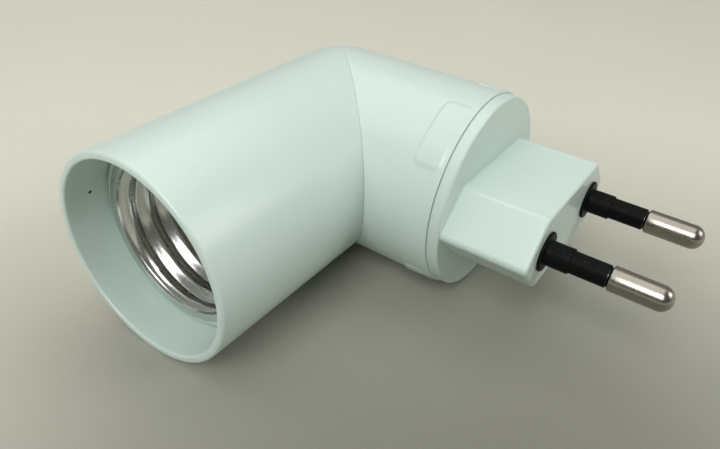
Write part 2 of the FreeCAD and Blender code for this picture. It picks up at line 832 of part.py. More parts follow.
def at_crimp(radius, angle, height):
    """Point on a crimp tube's axis, at a height on the lamp's axis."""
    x, y = polar(radius, angle)
    return lamp_frame.multVec(Vector(x, y, height))


def make_live_wire():
    pin_y = pin_spacing / 2
    points = [
        Vector(solder_cup_end + solder_cup_depth - drop_in_fit, pin_y, 0),
        Vector(solder_cup_end - live_cup_lead, pin_y, 0),
        along_swivel(spigot_reach + spigot_lead, wire_lane),
        along_swivel(-mitre_wall - live_spigot_tail, wire_lane),
        at_crimp(live_crimp_radius, terminal_angle, crimp_mouth_z - live_crimp_lead),
        at_crimp(live_crimp_radius, terminal_angle, crimp_mouth_z + wire_seat),
    ]
    return wire_solid(points)


def make_neutral_wire():
    pin_y = -pin_spacing / 2
    loop_start = solder_cup_end - neutral_cup_lead
    points = [
        Vector(solder_cup_end + solder_cup_depth - drop_in_fit, pin_y, 0),
        Vector(loop_start, pin_y, 0),
    ]
    for index, angle in enumerate(neutral_loop_angles):
        y, z = polar(barrel_bore_radius - neutral_loop_gaps[index], angle)
        points.append(Vector(loop_start - (index + 1) * neutral_loop_step, y, z))
    points += [
        along_swivel(spigot_reach + spigot_lead, -wire_lane),
        along_swivel(-mitre_wall - neutral_spigot_tail, -wire_lane),
        at_crimp(neutral_crimp_radius, shell_rivet_angles[1], crimp_mouth_z - neutral_crimp_lead),
        at_crimp(neutral_crimp_radius, shell_rivet_angles[1], crimp_mouth_z + wire_seat),
    ]
    return wire_solid(points)


def make_parts():
    """Every sub-part by its node name."""
    parts = {}
    parts["plug_barrel"] = make_plug_barrel()
    parts["plug_cap"] = make_plug_cap()
    for name, side in (("left", -1), ("right", 1)):
        parts[name + "_pin"] = make_pin(side)
        parts[name + "_pin_sleeve"] = make_pin_sleeve(side)
    parts["pin_retainer"] = make_pin_retainer()
    parts["retainer_screw"] = make_retainer_screw()
    parts["lamp_housing"] = make_lamp_housing()
    parts["swivel_washer"] = make_swivel_washer()
    parts["swivel_nut"] = make_swivel_nut()
    parts["socket_insert"] = make_socket_insert()
    parts["insert_screws"] = make_insert_screws()
    parts["screw_shell"] = make_screw_shell()
    parts["centre_contact"] = make_centre_contact()
    parts["live_terminal"] = make_terminal(centre_rivet_radius, live_crimp_radius, terminal_angle)
    parts["neutral_terminal"] = make_terminal(shell_rivet_radius, neutral_crimp_radius, shell_rivet_angles[1])
    parts["contact_rivets"] = make_contact_rivets()
    parts["live_wire"] = make_live_wire()
    parts["neutral_wire"] = make_neutral_wire()
    return parts


os.makedirs("parts", exist_ok=True)
for node, shape in make_parts().items():
    print(node, len(shape.Solids), "solids, valid", shape.isValid(), "volume", round(shape.Volume, 1))
    shape.exportStep("parts/" + node + ".step")
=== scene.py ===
import json
import math

import bpy
from bpy.props import FloatProperty, FloatVectorProperty, IntProperty, PointerProperty
from mathutils import Matrix, Vector


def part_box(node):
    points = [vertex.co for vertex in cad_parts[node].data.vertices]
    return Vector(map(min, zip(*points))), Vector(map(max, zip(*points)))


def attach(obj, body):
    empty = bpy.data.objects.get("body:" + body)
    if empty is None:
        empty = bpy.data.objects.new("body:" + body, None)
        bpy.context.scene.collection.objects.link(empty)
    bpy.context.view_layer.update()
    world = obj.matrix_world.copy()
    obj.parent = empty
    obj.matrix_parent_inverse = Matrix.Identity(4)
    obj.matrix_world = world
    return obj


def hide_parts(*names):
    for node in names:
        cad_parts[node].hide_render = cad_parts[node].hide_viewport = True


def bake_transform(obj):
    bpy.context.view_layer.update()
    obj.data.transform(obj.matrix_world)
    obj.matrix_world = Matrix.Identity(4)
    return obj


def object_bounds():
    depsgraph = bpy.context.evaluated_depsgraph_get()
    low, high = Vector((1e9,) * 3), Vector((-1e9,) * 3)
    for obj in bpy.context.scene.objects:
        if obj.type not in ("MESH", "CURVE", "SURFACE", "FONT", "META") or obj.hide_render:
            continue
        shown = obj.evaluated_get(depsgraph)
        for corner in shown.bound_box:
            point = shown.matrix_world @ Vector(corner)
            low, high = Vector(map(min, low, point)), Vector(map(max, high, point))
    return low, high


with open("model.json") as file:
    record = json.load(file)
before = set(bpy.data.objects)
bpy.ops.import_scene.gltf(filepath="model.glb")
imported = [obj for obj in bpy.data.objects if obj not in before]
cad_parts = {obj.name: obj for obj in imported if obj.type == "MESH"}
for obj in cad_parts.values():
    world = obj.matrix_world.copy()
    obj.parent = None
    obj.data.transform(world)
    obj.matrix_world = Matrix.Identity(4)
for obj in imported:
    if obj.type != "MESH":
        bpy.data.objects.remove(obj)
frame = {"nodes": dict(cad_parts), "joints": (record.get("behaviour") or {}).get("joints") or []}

bl_info = {
    "name": "Plug-in lamp holder",
    "version": (1, 0, 0),
    "blender": (4, 5, 0),
    "location": "View3D > Sidebar > Lamp holder",
    "description": "Builds the looks of a plug-in lamp holder round its packed solids",
    "category": "Object",
}

NODES = frame["nodes"]
CAD_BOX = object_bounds()
MITRE = math.sqrt(0.5)

# Places read from the frame, in metres
JOINT = frame["joints"][0]
ELBOW = Vector(JOINT["pos_m"])
SWIVEL = Vector(JOINT["axis"]).normalized()
TUBE_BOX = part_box("lamp_housing")
BARREL_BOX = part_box("plug_barrel")
SHELL_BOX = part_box("screw_shell")
SLEEVE_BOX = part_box("right_pin_sleeve")
PIN_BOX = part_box("right_pin")
PIN_Y = (PIN_BOX[0].y + PIN_BOX[1].y) / 2
UP = Vector((0, 0, 1))

# Columns round the turned and cut shapes, and rows down the elbow's walls
TUBE_COLUMNS, BARREL_COLUMNS, PIN_COLUMNS, POST_COLUMNS = 192, 320, 96, 32
OUTER_ROWS, INNER_ROWS = 30, 16

# Lengths that the housings share
KNEE = 0.003
EDGE_RUN = 0.0003
SKIN_LEAD = 0.0008
POLE = 0.00005


def basis(origin, x_dir, y_dir, z_dir):
    """Matrix that carries a local frame to the part's frame."""
    matrix = Matrix((x_dir, y_dir, z_dir)).transposed().to_4x4()
    matrix.translation = origin
    return matrix


# In both housings local x points to the elbow's inner corner and local z to the open end
LAMP_FRAME = basis(ELBOW, Vector((1, 0, 0)), UP, Vector((0, -1, 0)))
BARREL_FRAME = basis(ELBOW, Vector((0, -1, 0)), -UP, Vector((1, 0, 0)))
PLUG_FRAME = basis(Vector((0, 0, 0)), Vector((0, 1, 0)), UP, Vector((1, 0, 0)))


# Shapes as lists of vertices and faces
def outward(vertices, faces):
    """The shape with every face turned outwards."""
    volume = 0
    for face in faces:
        first = Vector(vertices[face[0]])
        for a, b in zip(face[1:], face[2:]):
            volume += first.dot(Vector(vertices[a]).cross(Vector(vertices[b])))
    if volume < 0:
        faces = [tuple(reversed(face)) for face in faces]
    return vertices, faces


def ring_grid(columns):
    """Closed grid through columns of points; the last column joins the first."""
    rows = len(columns[0])
    vertices = [point for column in columns for point in column]
    faces = []
    for c in range(len(columns)):
        d = (c + 1) % len(columns)
        for r in range(rows):
            s = (r + 1) % rows
            faces.append((c * rows + r, d * rows + r, d * rows + s, c * rows + s))
    return outward(vertices, faces)


def capped_grid(columns):
    """Grid through columns of points, closed by a face at each end."""
    rows = len(columns[0])
    vertices = [point for column in columns for point in column]
    faces = [tuple(c * rows for c in range(len(columns)))]
    faces.append(tuple(c * rows + rows - 1 for c in reversed(range(len(columns)))))
    for c in range(len(columns)):
        d = (c + 1) % len(columns)
        for r in range(rows - 1):
            faces.append((c * rows + r, c * rows + r + 1, d * rows + r + 1, d * rows + r))
    return outward(vertices, faces)


def turned(profile, count, closed=True):
    """Shape turned about local z from (radius, height) points."""
    columns = []
    for index in range(count):
        turn = 2 * math.pi * index / count
        columns.append([(r * math.cos(turn), r * math.sin(turn), z) for r, z in profile])
    return ring_grid(columns) if closed else capped_grid(columns)


def carried(shape, matrix):
    """Shape taken from one local frame to another."""
    return [tuple(matrix @ Vector(v)) for v in shape[0]], shape[1]


def joined(*shapes):
    """Several shapes as one."""
    vertices, faces = [], []
    for more_vertices, more_faces in shapes:
        first = len(vertices)
        vertices.extend(more_vertices)
        faces.extend(tuple(first + index for index in face) for face in more_faces)
    return vertices, faces


def make_object(name, shape, place, material, sharp=math.radians(35)):
    """Mesh object at the origin whose vertices carry its place."""
    mesh = bpy.data.meshes.new(name)
    mesh.from_pydata([place @ Vector(v) for v in shape[0]], [], shape[1])
    mesh.shade_smooth()
    mesh.set_sharp_from_angle(angle=sharp)
    mesh.materials.append(material)
    built = bpy.data.objects.new(name, mesh)
    bpy.context.scene.collection.objects.link(built)
    return built


def arc(x, z, radius, start, end, steps):
    """Points of an arc in a profile, angles in degrees."""
    points = []
    for index in range(steps + 1):
        turn = math.radians(start + (end - start) * index / steps)
        points.append((x + radius * math.cos(turn), z + radius * math.sin(turn)))
    return points


def run(start, end, steps):
    """Points strictly between two profile points."""
    shares = [index / steps for index in range(1, steps)]
    return [(start[0] + (end[0] - start[0]) * s, start[1] + (end[1] - start[1]) * s) for s in shares]


def ease(value):
    """Smooth step from 0 to 1."""
    value = min(max(value, 0), 1)
    return value * value * (3 - 2 * value)


# Elbow halves: a tube that runs into a ball and is cut at 45 degrees
INWARD = Vector((-MITRE, 0, MITRE))
INNER_CORNER = Vector((MITRE, 0, MITRE))


class ElbowSkin:
    """One wall of an elbow half, from a height down to the cut at a depth from the pivot."""

    def __init__(self, radius, depth, top):
        self.radius = radius
        self.depth = depth
        self.top = top

    def length(self, turn):
        """Way down the wall at this angle, from the top to the cut."""
        reach = self.depth / MITRE
        across = self.radius * math.cos(turn)
        if across + reach >= 0:
            return self.top - across - reach
        swing = math.asin(-reach / (self.radius * math.hypot(1, math.cos(turn))))
        return self.top + self.radius * (swing - math.atan(math.cos(turn)))

    def point(self, turn, way):
        """Point this far down the wall."""
        if way <= self.top:
            across, height = self.radius, self.top - way
        else:
            tilt = (way - self.top) / self.radius
            across, height = self.radius * math.cos(tilt), -self.radius * math.sin(tilt)
        return Vector((across * math.cos(turn), across * math.sin(turn), height))

    def column(self, turn, rows, edge):
        """Points down the wall, stopping an edge's width short of the cut."""
        length = self.length(turn) - edge
        return [self.point(turn, length * row / rows) for row in range(rows + 1)]

    def corner(self, turn):
        """Where the wall meets the cut."""
        return self.point(turn, self.length(turn))

    def aim(self, turn):
        """Direction in the cut from the pivot to the corner."""
        return (self.corner(turn) - INWARD * self.depth).normalized()


def on_pivot(radius, depth, aim):
    """Point at a radius from the pivot and a depth from the elbow's centre."""
    return INWARD * depth + aim * radius


def rounded_corner(before, corner, after, steps):
    """Points of a soft edge between two points, strictly between them."""
    points = []
    for index in range(1, steps):
        s = index / steps
        points.append(before * (1 - s) ** 2 + corner * (2 * s * (1 - s)) + after * s ** 2)
    return points


def elbow_half(columns, outer, inner, mouth, pivot, edge, relief=None):
    """Closed wall of an elbow half: mouth profile, outside, cut, pivot profile, inside."""
    grid = []
    for index in range(columns):
        turn = 2 * math.pi * index / columns
        aim = outer.aim(turn)
        line = []
        for across, height in mouth:
            if relief:
                across += relief(turn, across, height)
            line.append(Vector((across * math.cos(turn), across * math.sin(turn), height)))
        down = outer.column(turn, OUTER_ROWS, edge)
        corner = outer.corner(turn)
        line += down
        line += rounded_corner(down[-1], corner, corner - aim * edge, 4)
        line.append(corner - aim * edge)
        line.append(corner - aim * edge * 2)
        line += [on_pivot(radius, depth, aim) for radius, depth in pivot(aim.angle(INNER_CORNER))]
        line += reversed(inner.column(turn, INNER_ROWS, 0))
        grid.append([tuple(point) for point in line])
    return ring_grid(grid)


# Node helpers
def add_node(tree, kind, inputs=None, **settings):
    """Node with settings and inputs; an input is a value or another node's socket."""
    made = tree.nodes.new(kind)
    for key, value in settings.items():
        setattr(made, key, value)
    for key, value in (inputs or {}).items():
        if isinstance(value, bpy.types.NodeSocket):
            tree.links.new(value, made.inputs[key])
        else:
            made.inputs[key].default_value = value
    return made


def math_node(tree, operation, *inputs):
    """Result of one arithmetic step."""
    return add_node(tree, "ShaderNodeMath", dict(enumerate(inputs)), operation=operation).outputs[0]


def share(tree, value, low, high):
    """Where a value lies between two others, from 0 to 1."""
    return add_node(tree, "ShaderNodeMapRange", {"Value": value, "From Min": low, "From Max": high}).outputs[0]


def mixed(tree, factor, low, high):
    """Number between two numbers by a mask."""
    return add_node(tree, "ShaderNodeMapRange", {"Value": factor, "To Min": low, "To Max": high}).outputs[0]


def noise(tree, place, scale, detail, roughness=0.5):
    """Soft noise, from 0 to 1."""
    return add_node(tree, "ShaderNodeTexNoise", {
        "Vector": place, "Scale": scale, "Detail": detail, "Roughness": roughness,
    }).outputs["Fac"]


def distance(tree, place, centre):
    """How far a place is from a centre."""
    return add_node(tree, "ShaderNodeVectorMath", {0: place, 1: centre}, operation="DISTANCE").outputs["Value"]


def scaled(tree, colour, factor):
    """Colour times a number."""
    return add_node(tree, "ShaderNodeVectorMath", {0: colour, "Scale": factor}, operation="SCALE").outputs[0]


def tinted(tree, factor, low, high):
    """Colour between two colours by a mask."""
    return add_node(tree, "ShaderNodeMix", {"Factor": factor, 6: low, 7: high}, data_type="RGBA").outputs[2]


def add_relief(tree, shader, height, depth, strength):
    """Relief of a surface from a height."""
    bump = add_node(tree, "ShaderNodeBump", {"Height": height, "Distance": depth, "Strength": strength})
    tree.links.new(bump.outputs[0], shader.inputs["Normal"])


def shader_group(name, inputs, outputs):
    """Empty shader node group with named sockets; inputs are (name, type, default)."""
    tree = bpy.data.node_groups.new(name, "ShaderNodeTree")
    for label, kind, default in inputs:
        socket = tree.interface.new_socket(name=label, in_out="INPUT", socket_type=kind)
        if default is not None:
            socket.default_value = default
    for label, kind in outputs:
        tree.interface.new_socket(name=label, in_out="OUTPUT", socket_type=kind)
    return tree, tree.nodes.new("NodeGroupInput").outputs, tree.nodes.new("NodeGroupOutput").inputs


FLOAT = "NodeSocketFloat"
VECTOR = "NodeSocketVector"
COLOUR = "NodeSocketColor"


def make_tone_drift():
    """Slow change of a colour over the surface."""
    tree, given, out = shader_group(
        "tone_drift",
        [("Place", VECTOR, None), ("Colour", COLOUR, (1, 1, 1, 1)), ("Scale", FLOAT, 60), ("Amount", FLOAT, 0.02)],
        [("Colour", COLOUR)],
    )
    span = add_node(tree, "ShaderNodeMapRange", {
        "Value": noise(tree, given["Place"], given["Scale"], 3), "From Min": 0.3, "From Max": 0.7,
        "To Min": math_node(tree, "SUBTRACT", 1, given["Amount"]),
        "To Max": math_node(tree, "ADD", 1, given["Amount"]),
    })
    tree.links.new(scaled(tree, given["Colour"], span.outputs[0]), out["Colour"])
    return tree


def make_fine_marks():
    """Hairline marks along one direction as a mask, and the streaks they follow."""
    tree, given, out = shader_group(
        "fine_marks",
        [("Place", VECTOR, None), ("Stretch", VECTOR, (1, 1, 1)), ("Scale", FLOAT, 400), ("Width", FLOAT, 0.02)],
        [("Mask", FLOAT), ("Streak", FLOAT)],
    )
    laid = add_node(tree, "ShaderNodeVectorMath", {0: given["Place"], 1: given["Stretch"]}, operation="MULTIPLY")
    streak = noise(tree, laid.outputs[0], given["Scale"], 4, 0.6)
    away = math_node(tree, "ABSOLUTE", math_node(tree, "SUBTRACT", streak, 0.5))
    line = share(tree, away, given["Width"], 0)
    patches = share(tree, noise(tree, given["Place"], 90, 2), 0.52, 0.66)
    tree.links.new(math_node(tree, "MULTIPLY", line, patches), out["Mask"])
    tree.links.new(streak, out["Streak"])
    return tree


def make_mould_grain():
    """Fine grain and slow ripple of a moulded surface, as a height."""
    tree, given, out = shader_group(
        "mould_grain",
        [("Place", VECTOR, None), ("Grain Scale", FLOAT, 5000), ("Ripple Scale", FLOAT, 160), ("Ripple", FLOAT, 0.5)],
        [("Height", FLOAT)],
    )
    grain = noise(tree, given["Place"], given["Grain Scale"], 2)
    ripple = noise(tree, given["Place"], given["Ripple Scale"], 1)
    tree.links.new(math_node(tree, "MULTIPLY_ADD", ripple, given["Ripple"], grain), out["Height"])
    return tree


def make_dust():
    """Fine dust that settles on faces that look up, as a mask."""
    tree, given, out = shader_group(
        "settled_dust",
        [("Place", VECTOR, None), ("Amount", FLOAT, 0.2), ("Scale", FLOAT, 1600)],
        [("Mask", FLOAT)],
    )
    face = add_node(tree, "ShaderNodeNewGeometry")
    upward = add_node(tree, "ShaderNodeSeparateXYZ", {0: face.outputs["Normal"]}).outputs["Z"]
    specks = noise(tree, given["Place"], given["Scale"], 4)
    settled = math_node(tree, "MULTIPLY", share(tree, upward, 0.2, 1), share(tree, specks, 0.56, 0.75))
    tree.links.new(math_node(tree, "MULTIPLY", settled, given["Amount"]), out["Mask"])
    return tree


GROUP_MAKERS = {
    "tone_drift": make_tone_drift,
    "fine_marks": make_fine_marks,
    "mould_grain": make_mould_grain,
    "settled_dust": make_dust,
}


def use_group(tree, name, inputs):
    """Shared group placed in a material, made on first use."""
    shared = bpy.data.node_groups.get(name) or GROUP_MAKERS[name]()
    return add_node(tree, "ShaderNodeGroup", inputs, node_tree=shared)


def new_material(name):
    """Material with its shader, output and object coordinates."""
    material = bpy.data.materials.new(name)
    material.use_nodes = True
    tree = material.node_tree
    shader = tree.nodes["Principled BSDF"]
    place = add_node(tree, "ShaderNodeTexCoord").outputs["Object"]
    return material, tree, shader, place


def plastic(name, colour, roughness, grain=0.00001, dust=0.12, drift=0.012, coat=0.0, gloss=0.5, extra=None):
    """Moulded plastic with grain, slow ripple, hairlines and a little dust."""
    material, tree, shader, place = new_material(name)
    tone = use_group(tree, "tone_drift", {"Place": place, "Colour": (*colour, 1), "Scale": 70, "Amount": drift})
    marks = use_group(tree, "fine_marks", {"Place": place, "Stretch": (1, 0.12, 0.4), "Scale": 260, "Width": 0.006})
    settled = use_group(tree, "settled_dust", {"Place": place, "Amount": dust}).outputs["Mask"]
    surface = tinted(tree, settled, tone.outputs["Colour"], (0.62, 0.6, 0.54, 1))
    if extra:
        surface = extra(tree, place, surface)
    tree.links.new(surface, shader.inputs["Base Color"])
    rough = mixed(tree, marks.outputs["Mask"], roughness, roughness + 0.14)
    tree.links.new(math_node(tree, "ADD", rough, settled), shader.inputs["Roughness"])
    height = use_group(tree, "mould_grain", {"Place": place, "Ripple": 0.8})
    add_relief(tree, shader, height.outputs["Height"], grain, 0.6)
    shader.inputs["IOR"].default_value = 1.5
    shader.inputs["Specular IOR Level"].default_value = gloss
    shader.inputs["Coat Weight"].default_value = coat
    shader.inputs["Coat Roughness"].default_value = 0.12
    return material


def metal(name, colour, roughness, stretch, scale=500, depth=0.000004, tarnish=(0.32, 0.3, 0.26), spots=0.12):
    """Metal with working marks along one direction and faint tarnish."""
    material, tree, shader, place = new_material(name)
    tone = use_group(tree, "tone_drift", {"Place": place, "Colour": (*colour, 1), "Scale": 180, "Amount": 0.05})
    marks = use_group(tree, "fine_marks", {"Place": place, "Stretch": stretch, "Scale": scale, "Width": 0.03})
    cloud = share(tree, noise(tree, place, 420, 5, 0.7), 0.5, 0.72)
    dull = math_node(tree, "MULTIPLY", cloud, spots)
    stained = tinted(tree, dull, tone.outputs["Colour"], (*tarnish, 1))
    tree.links.new(stained, shader.inputs["Base Color"])
    streaky = mixed(tree, marks.outputs["Streak"], roughness * 0.7, roughness * 1.35)
    tree.links.new(math_node(tree, "ADD", streaky, dull), shader.inputs["Roughness"])
    add_relief(tree, shader, marks.outputs["Streak"], depth, 0.5)
    shader.inputs["Metallic"].default_value = 1
    return material


# What a user would change
METRES = {"unit": "LENGTH", "precision": 5}


class HousingSizes(bpy.types.PropertyGroup):
    """Sizes of the two housings."""

    body_radius: FloatProperty(
        name="Body radius", description="Outside radius of barrel and tube",
        default=(TUBE_BOX[1].z - TUBE_BOX[0].z) / 2, **METRES,
    )
    tube_wall: FloatProperty(
        name="Tube wall", description="Wall of the lamp tube", default=0.0013, **METRES,
    )
    barrel_wall: FloatProperty(
        name="Barrel wall", description="Wall of the plug barrel", default=0.0019, **METRES,
    )
    cut_wall: FloatProperty(
        name="Cut wall", description="Wall along the 45 degree cut", default=0.002, **METRES,
    )
    joint_gap: FloatProperty(
        name="Joint gap", description="Gap between the two halves", default=0.00003, **METRES,
    )
    cut_edge: FloatProperty(
        name="Cut edge", description="Softness of the edge along the cut", default=0.00002, **METRES,
    )
    rim_round: FloatProperty(
        name="Rim round", description="Round of the mouth's outer edge", default=0.0005, **METRES,
    )
    lip_round: FloatProperty(
        name="Lip round", description="Round of the mouth's inner edge", default=0.00035, **METRES,
    )
    seam_round: FloatProperty(
        name="Seam round", description="Round of the barrel's edge at the cap", default=0.00008, **METRES,
    )
    seam_shift: FloatProperty(
        name="Seam shift", description="How far the barrel's edge closes on the cap, past its packed end",
        default=0.00007, **METRES,
    )
    pad_back_height: FloatProperty(
        name="Pad back height", description="Height of a snap pad at its back", default=0.0003, **METRES,
    )
    pad_front_height: FloatProperty(
        name="Pad front height", description="Height of a snap pad at its front", default=0.00012, **METRES,
    )
    pad_length: FloatProperty(
        name="Pad length", description="Length of a snap pad along the barrel", default=0.005, **METRES,
    )
    pad_inset: FloatProperty(
        name="Pad inset", description="Distance from a snap pad to the cap seam", default=0.0005, **METRES,
    )
    pad_angle: FloatProperty(
        name="Pad width", description="Width of a snap pad round the barrel", default=math.radians(41),
        subtype="ANGLE",
    )
    pad_place: FloatProperty(
        name="Pad place", description="Angle of the first snap pad from the plug's flat side",
        default=math.radians(54.5), subtype="ANGLE",
    )
    pivot_radius: FloatProperty(
        name="Pivot radius", description="Radius of the hollow spigot", default=0.006, **METRES,
    )
    pivot_bore: FloatProperty(
        name="Pivot bore", description="Radius of the way through the spigot", default=0.0042, **METRES,
    )
    pivot_reach: FloatProperty(
        name="Pivot reach", description="Reach of the spigot past the cut", default=0.0077, **METRES,
    )
    stop_radius: FloatProperty(
        name="Stop radius", description="Radius of the stop pin's path", default=0.0106, **METRES,
    )


class PlugSizes(bpy.types.PropertyGroup):
    """Sizes of the contact pins and their sleeves."""

    pin_radius: FloatProperty(
        name="Pin radius", description="Radius of the bare pin", default=0.002, **METRES,
    )
    pin_spacing: FloatProperty(
        name="Pin spacing", description="Distance between the pins", default=2 * PIN_Y, **METRES,
    )
    pin_count: IntProperty(name="Pins", description="Number of pins side by side", default=2, min=1, max=3)


class ShellSizes(bpy.types.PropertyGroup):
    """Sizes of the rolled screw shell."""

    groove_radius: FloatProperty(
        name="Groove radius", description="Largest inside radius of the thread", default=0.0133, **METRES,
    )
    crest_radius: FloatProperty(
        name="Crest radius", description="Smallest inside radius of the thread", default=0.0122, **METRES,
    )
    pitch: FloatProperty(
        name="Pitch", description="Pitch of the rolled thread", default=0.003629, **METRES,
    )
    start_angle: FloatProperty(
        name="Start angle", description="Angle at which the thread starts", default=math.radians(118),
        subtype="ANGLE",
    )
    collar: FloatProperty(
        name="Collar", description="Plain length above the thread", default=0.0002, **METRES,
    )
    run_out: FloatProperty(
        name="Run-out", description="Length over which the thread fades at its start", default=0.0012,
        **METRES,
    )
    rim_radius: FloatProperty(
        name="Rim radius", description="Radius of the turned-out rim", default=0.0143, **METRES,
    )
    floor_radius: FloatProperty(
        name="Floor opening", description="Radius of the opening in the floor", default=0.008, **METRES,
    )
    sheet: FloatProperty(
        name="Sheet", description="Thickness of the sheet", default=0.00035, **METRES,
    )


class Colours(bpy.types.PropertyGroup):
    """Colours of the finishes."""

    housing: FloatVectorProperty(
        name="Housing", description="Colour of barrel, tube and cap", default=(0.64, 0.77, 0.72),
        subtype="COLOR", min=0, max=1,
    )
    sleeve: FloatVectorProperty(
        name="Sleeve", description="Colour of the pin sleeves", default=(0.006, 0.0075, 0.0065),
        subtype="COLOR", min=0, max=1,
    )
    pin: FloatVectorProperty(
        name="Pin", description="Colour of the plated pins", default=(0.38, 0.352, 0.305),
        subtype="COLOR", min=0, max=1,
    )
    shell: FloatVectorProperty(
        name="Shell", description="Colour of the rolled sheet", default=(0.62, 0.63, 0.6),
        subtype="COLOR", min=0, max=1,
    )
    floor: FloatVectorProperty(
        name="Floor", description="Colour of the floor", default=(0.71, 0.705, 0.6),
        subtype="COLOR", min=0, max=1,
    )


class StageSizes(bpy.types.PropertyGroup):
    """Camera, lights and floor."""

    lens: FloatProperty(
        name="Lens", description="Focal length of the camera", default=32.491, min=1, subtype="DISTANCE_CAMERA",
    )
    key_power: FloatProperty(
        name="Key light", description="Power of the large light above", default=1.25, min=0, subtype="POWER",
    )
    fill_power: FloatProperty(
        name="Fill light", description="Power of the light beside the pins", default=1.6, min=0, subtype="POWER",
    )
    front_power: FloatProperty(
        name="Front light", description="Power of the light that reaches into the mouth", default=1.55, min=0,
        subtype="POWER",
    )
    # Painted shadow: the floor in front of the object is painted darker, down to this share of its colour
    painted_front_shadow: FloatProperty(
        name="Painted front shadow", description="Tone of the floor in front, as a share of the rest", default=0.28,
        min=0, max=1,
    )
    sky: FloatProperty(
        name="Sky", description="Strength of the even light all round", default=0.34, min=0,
    )


def sizes(context, group):
    """One of the scene's size groups."""
    return getattr(context.scene, "lamp_holder_" + group)


def finish_of(name, maker, *values, **options):
    """Material by its finish name, made on first use."""
    return bpy.data.materials.get(name) or maker(name, *values, **options)


def dark_speck(tree, place, surface):
    """One small dark speck in the plastic, just inside the mouth."""
    centre, edge, core = (-0.06154, -0.04504, 0.00363), 0.00042, 0.00022
    mask = share(tree, distance(tree, place, centre), edge, core)
    return tinted(tree, mask, surface, (0.02, 0.018, 0.014, 1))


def housing_plastic(context):
    """Glossy white plastic with a slight green cast."""
    colour = tuple(sizes(context, "colours").housing)
    return finish_of("gloss white plastic", plastic, colour, 0.3, coat=0.15, extra=dark_speck)


def insert_post(size, side):
    """Post for one insert screw, from inside the cut's wall up to the insert."""
    away, radius, pilot, depth, clearance = 0.0086, 0.003, 0.0013, 0.007, 0.00005
    top = ELBOW.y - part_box("socket_insert")[1].y - clearance
    columns = []
    for index in range(POST_COLUMNS):
        turn = 2 * math.pi * index / POST_COLUMNS
        x, y = math.cos(turn), math.sin(turn)
        base = size.cut_wall / 2 / MITRE
        column = [(POLE, base), (radius, base + radius * x), (radius, top), (pilot, top)]
        column += [(pilot, top - depth), (POLE, top - depth)]
        columns.append([(r * x, r * y + side * away, z) for r, z in column])
    return capped_grid(columns)


class LAMPHOLDER_OT_lamp_tube(bpy.types.Operator):
    """Lamp tube with its half of the elbow, spigot, posts and stop pin"""

    bl_idname = "lampholder.lamp_tube"
    bl_label = "Lamp tube"

    def execute(self, context):
        size = sizes(context, "housing")
        top = ELBOW.y - TUBE_BOX[0].y
        radius = size.body_radius
        bore = radius - size.tube_wall
        knee = radius + KNEE
        mouth = [(bore, top - size.lip_round - EDGE_RUN)]
        mouth += arc(bore + size.lip_round, top - size.lip_round, size.lip_round, 180, 90, 5)
        mouth += arc(radius - size.rim_round, top - size.rim_round, size.rim_round, 90, 0, 7)
        mouth.append((radius, top - size.rim_round - EDGE_RUN))
        mouth += run(mouth[-1], (radius, knee), 10)
        gap = size.joint_gap / 2
        deep = gap + size.cut_wall
        reach = size.pivot_reach

        def pivot(angle):
            outside, hollow, bevel = size.pivot_radius, size.pivot_bore, 0.0002
            return [(outside, gap), (outside, bevel - reach), (outside - bevel, -reach), (hollow, -reach),
                    (hollow, deep)]

        outer = ElbowSkin(radius, gap, knee)
        inner = ElbowSkin(bore, deep, top - size.lip_round - SKIN_LEAD)
        wall = elbow_half(TUBE_COLUMNS, outer, inner, mouth, pivot, size.cut_edge)
        thick, half, bevel = 0.0012, 0.001, 0.0001
        stop = [(POLE, -half), (thick, -half), (thick, half), (thick - bevel, half + bevel), (POLE, half + bevel)]
        pin_place = LAMP_FRAME.inverted() @ basis(
            ELBOW + UP * size.stop_radius, SWIVEL.cross(UP), UP, SWIVEL.cross(UP).cross(UP)
        )
        stop_pin = carried(turned(stop, POST_COLUMNS, False), pin_place)
        shape = joined(wall, insert_post(size, 1), insert_post(size, -1), stop_pin)
        built = make_object("lamp_tube", shape, LAMP_FRAME, housing_plastic(context))
        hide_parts("lamp_housing")
        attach(built, "lamp_side")
        return {"FINISHED"}


